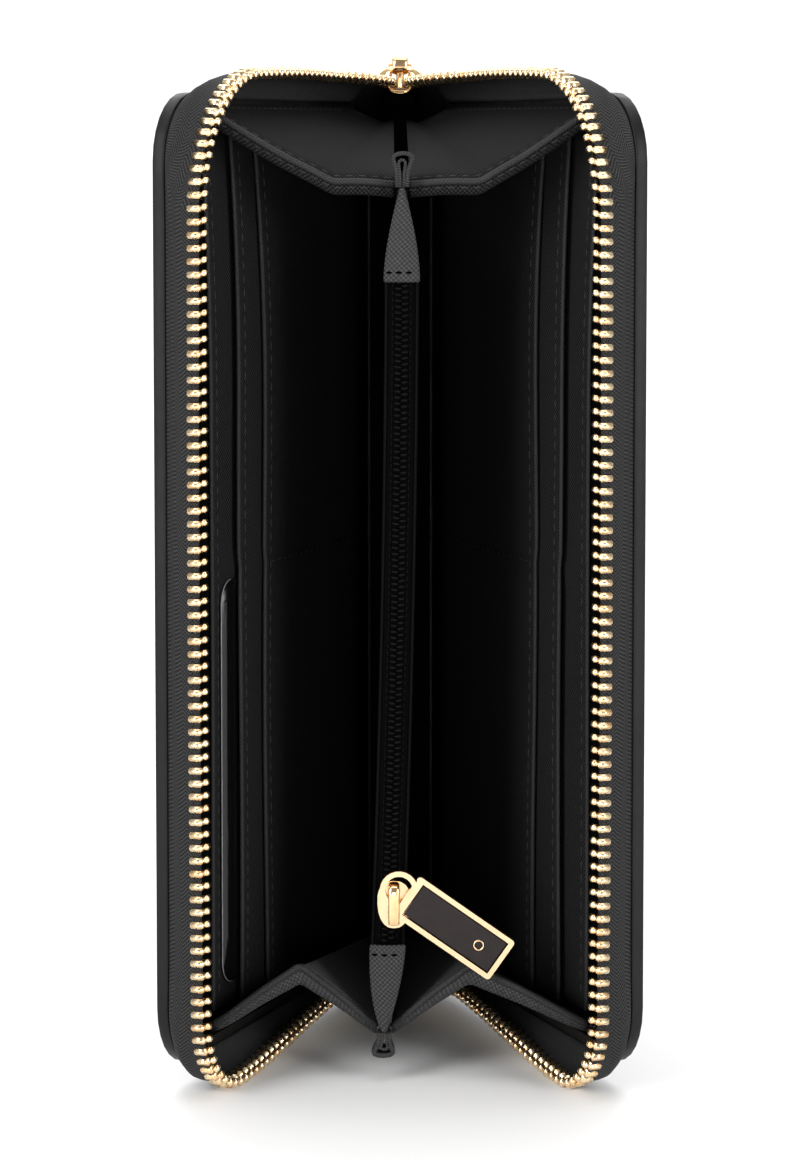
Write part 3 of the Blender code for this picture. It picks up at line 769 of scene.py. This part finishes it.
# ------------------------------------------------------------------ carried-over CAD nodes
LOOK = {"main_slider_body": GOLD, "main_slider_bail": GOLD, "coin_slider_body": PULL_GOLD, "coin_slider_bail": PULL_GOLD,
        "main_pull_frame": PULL_GOLD, "coin_pull_frame": PULL_GOLD, "main_pull_inlay": INLAY, "coin_pull_inlay": INLAY,
        "zip_bottom_stop": GOLD, "zip_tail_top": LINING, "zip_tail_bottom": LINING, "spine_lining": LINING,
        "left_cover_lining": LINING, "right_cover_lining": LINING, "left_cover_board": BOARD, "right_cover_board": BOARD}
for n, m in LOOK.items():
    o = frame["nodes"][n]
    o.data.materials.clear()
    o.data.materials.append(m)
    if m in (GOLD, PULL_GOLD):
        e = o.modifiers.new("edge", "BEVEL")
        e.width, e.segments, e.limit_method, e.angle_limit = (0.3 if "pull" in n else 0.18) * MM, 3, "ANGLE", math.radians(40)
        e.harden_normals = False
        o.data.shade_smooth()
        e = o.modifiers.new("normals", "WEIGHTED_NORMAL")

# main slider: two shells round the channel, with the post between them
def shell(name, b, z0, sg, mats):
    P = []
    for i in range(19):
        q = -1 + 2 * i / 18
        w = (1 - abs(q) ** 3.2) ** 0.5 if abs(q) < 1 else 0.0
        w = 0.5 + 0.5 * w
        y = HY - 2.5 + 4.55 * q
        row = []
        for j in range(25):
            a = math.radians(4 + 172 * j / 24)
            ca, sa = math.cos(a), math.sin(a)
            x = 4.15 * w * math.copysign(abs(ca) ** 0.8, ca)
            row.append((x, y, 197.6 + sg * (z0 + b * (0.75 + 0.25 * w) * sa ** 0.7)))
        P.append(row)
    o = grid(name, P, mats, 0.75, -1.0 if sg > 0 else 1.0, bevel=0.16)
    return o


for name, b, z0, sg in (("main_slider_top_shell", 2.2, 0.45, 1), ("main_slider_lower_shell", 1.75, 0.45, -1)):
    o = shell(name, b, z0, sg, GOLD)
    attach(o, "main_slider")
    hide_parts("main_slider_body")
P = []
for i in range(9):
    t = i / 8
    y = HY - 2.5 - 4.3 + 4.2 * t
    w = 0.5 + 0.35 * t
    P.append([(x * w, y, 197.6 + z) for x, z in ((-1, -1.5), (-1, -0.5), (-1, 0.5), (-1, 1.8), (1, 1.8), (1, 0.5), (1, -0.5), (1, -1.5))])
o = grid("main_slider_divider", P, GOLD, closed=True, bevel=0.12)
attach(o, "main_slider")


def strap(name, pts, w, t, mats):
    """A rounded strap along points in the YZ plane, w wide along X and t thick."""
    pts = soften([Vector(p) for p in pts], 2)
    rows = []
    for i, p in enumerate(pts):
        d = (pts[min(i + 1, len(pts) - 1)] - pts[max(i - 1, 0)]).normalized()
        nrm = d.cross(Vector((1, 0, 0)))
        e = min(1.0, 0.55 + 0.45 * min(i, len(pts) - 1 - i) / 2.0)
        rows.append([tuple(p + Vector((1, 0, 0)) * (w / 2 * e * math.copysign(abs(math.cos(a)) ** 0.7, math.cos(a))) + nrm * (t / 2 * e * math.sin(a))) for a in [2 * math.pi * k / 16 for k in range(16)]])
    return grid(name, rows, mats, closed=True)


cx0, cy0, cz0 = -1.2, HY + FACE, 36.4
o = strap("coin_slider_strap", [(cx0, cy0 + y, cz0 + z) for y, z in ((-2.6, 0.3), (-4.6, 0.25), (-5.6, -0.3), (-5.8, -1.6), (-5.8, -5.0), (-5.7, -6.6), (-5.45, -7.6))], 2.2, 0.85, GOLD)
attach(o, "coin_slider")
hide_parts("coin_slider_bail")
o = strap("main_slider_strap", [(0, HY - 2.5 + y, 197.6 + z) for y, z in ((-3.7, 2.3), (-3.65, 4.2), (-2.9, 5.1), (-1.0, 5.3), (3.6, 5.3), (5.2, 5.15), (5.95, 4.4), (6.05, 3.2), (5.8, 2.1), (4.2, 1.9))], 3.4, 0.85, GOLD)
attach(o, "main_slider")
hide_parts("main_slider_bail")

# cloth that closes the mouth's two ends in front of the spine
for end, za, zb in (("top", 184.0, 194.9), ("bottom", 12.0, 1.2)):
    P = []
    for i in range(9):
        t = i / 8
        wide = 1.0 + 0.137 * sm((t - 0.5) / 0.125) if end == "top" else 1.0
        P.append([(x * (wide if abs(x) > 7 else 1.0), HY - 2.9 - 0.9 * math.sin(math.pi * t) - 0.02 * x * x * (1 - t), za + (zb + (float(np.interp(abs(x), (3.0, 3.5, 3.9, 4.2, 4.6), (0.0, 0.75, 1.1, 1.9, 2.5))) if end == "top" else 0.0) - za) * t) for x in (-8.8, -7.8, -6.5, -5.2, -4.6, -4.2, -3.9, -3.5, -3, -1.5, 0, 1.5, 3, 3.5, 3.9, 4.2, 4.6, 5.2, 6.5, 7.8, 8.8)])
    o = grid(f"zip_tail_{end}_cloth", P, LINING, 0.5)
    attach(o, "root")

# the upper pull with a slimmer eye
T_MAIN = Matrix.Translation(Vector((0, HY + 2.1, 201.4 + LIFT)) * MM) @ Matrix.Rotation(math.radians(36.0), 4, "X")
src = frame["nodes"]["main_pull_frame"]
mesh = src.data.copy()
mesh.transform(T_MAIN.inverted() @ src.matrix_world)
for v in mesh.vertices:
    if v.co.z > -5.65 * MM:
        k = sm((v.co.z / MM + 5.65) / 1.2)
        v.co.x *= 1 - 0.24 * k
        v.co.y *= 1 - 0.3 * k
mesh.transform(T_MAIN)
o = link("main_pull_tag", mesh, [])
mesh.materials.clear()
mesh.materials.append(PULL_GOLD)
e = o.modifiers.new("edge", "BEVEL")
e.width, e.segments, e.limit_method, e.angle_limit = 0.25 * MM, 3, "ANGLE", math.radians(40)
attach(o, "main_pull")
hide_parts("main_pull_frame")

# a small plain disc on each inlay
for name, body, T in (("coin", "coin_pull", Matrix.Translation(Vector((-1.2, HY + FACE - 4.1, 36.4 + LIFT)) * MM) @ Matrix.Rotation(math.radians(35.0 - 90.0), 4, "Y")),
                      ("main", "main_pull", Matrix.Translation(Vector((0, HY + 2.1, 201.4 + LIFT)) * MM) @ Matrix.Rotation(math.radians(36.0), 4, "X"))):
    face = -0.7 if name == "coin" else 0.56
    rows = []
    for r in (0.95, 0.6):
        rows.append([(r * math.cos(2 * math.pi * k / 24), face + (0.1 if name == "coin" else -0.1) * 0, -20.6 + r * math.sin(2 * math.pi * k / 24)) for k in range(24)])
    ring = [tuple(rows[0][k]) for k in range(24)] + [rows[0][0]]
    o = tube(name + "_pull_dot", ring, 0.17, PULL_GOLD, 8, lift=0.0)
    o.data.transform(T)
    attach(o, body)

# ------------------------------------------------------------------ floor, light, camera
bpy.ops.mesh.primitive_plane_add(size=1)
floor = bpy.context.object
floor.name = "floor"
bm = bmesh.new()
prof = [(-3.0, 0.0), (0.9, 0.0)] + [(0.9 + 0.6 * math.sin(math.radians(a)), 0.6 - 0.6 * math.cos(math.radians(a))) for a in range(10, 91, 10)] + [(1.5, 3.0)]
vs = [[bm.verts.new((x, y, z)) for y, z in prof] for x in (-4.0, 4.0)]
for k in range(len(prof) - 1):
    bm.faces.new((vs[0][k], vs[1][k], vs[1][k + 1], vs[0][k + 1]))
bm.to_mesh(floor.data)
bm.free()
floor.data.shade_smooth()
fm, ft, fb = new_mat("floor_look", (0.93, 0.93, 0.93), 0.6)
ft.links.new(ramp(ft, noise(ft, obj_mm(ft), 0.02, 2.0), [(0.0, (0.92,) * 3), (1.0, (0.94,) * 3)]), fb.inputs["Base Color"])
floor.data.materials.append(fm)

world = bpy.data.worlds.new("studio")
bpy.context.scene.world = world
world.use_nodes = True
wt = world.node_tree
sep = node(wt, "ShaderNodeSeparateXYZ", node(wt, "ShaderNodeTexCoord").outputs["Generated"])
wt.links.new(ramp(wt, math_(wt, "ADD", math_(wt, "MULTIPLY", sep.outputs[1], 0.5), 0.5), [(0.28, (0.34,) * 3), (0.55, (1.0,) * 3)]), wt.nodes["Background"].inputs[0])
wt.nodes["Background"].inputs[1].default_value = 0.75


def area(name, loc, size, power, target=(0, 0, 0.1), color=(1, 1, 1)):
    d = bpy.data.lights.new(name, "AREA")
    d.shape, d.size, d.size_y, d.energy, d.color = "RECTANGLE", size[0], size[1], power, color
    o = bpy.data.objects.new(name, d)
    bpy.context.scene.collection.objects.link(o)
    o.location = loc
    o.rotation_euler = (Vector(target) - Vector(loc)).to_track_quat("-Z", "Y").to_euler()
    return o


area("key", (-0.75, -0.75, 0.75), (0.6, 0.6), 6.0)
area("fill", (0.85, -0.8, 0.55), (0.6, 0.7), 4.0)
area("strip_left", (-0.95, -1.05, 0.2), (0.45, 1.1), 9.0)
area("strip_right", (0.95, -1.05, 0.2), (0.45, 1.1), 9.0)
area("front_low", (0.0, -1.5, 0.1), (0.6, 0.2), 2.5)
area("top", (0.0, 0.1, 1.3), (1.2, 1.2), 9.0)
area("back", (0.0, 1.3, 0.9), (1.6, 1.0), 10.0, (0, 0.2, 0.1))

cam = bpy.data.cameras.new("camera")
cam_o = bpy.data.objects.new("camera", cam)
bpy.context.scene.collection.objects.link(cam_o)
PITCH = 4.2
DIST = 643.3
cam.sensor_width = 36.0
cam.lens = 103.9
cam.shift_y = -0.16
cam.clip_end = 50
cam.clip_start = 0.01
cam_o.location = (0.0, (-56.7 - DIST) * MM, 0.187)
cam_o.rotation_euler = (math.radians(90.0 - PITCH), 0, 0)
bpy.context.scene.camera = cam_o
bpy.context.scene.view_settings.view_transform = "Standard"
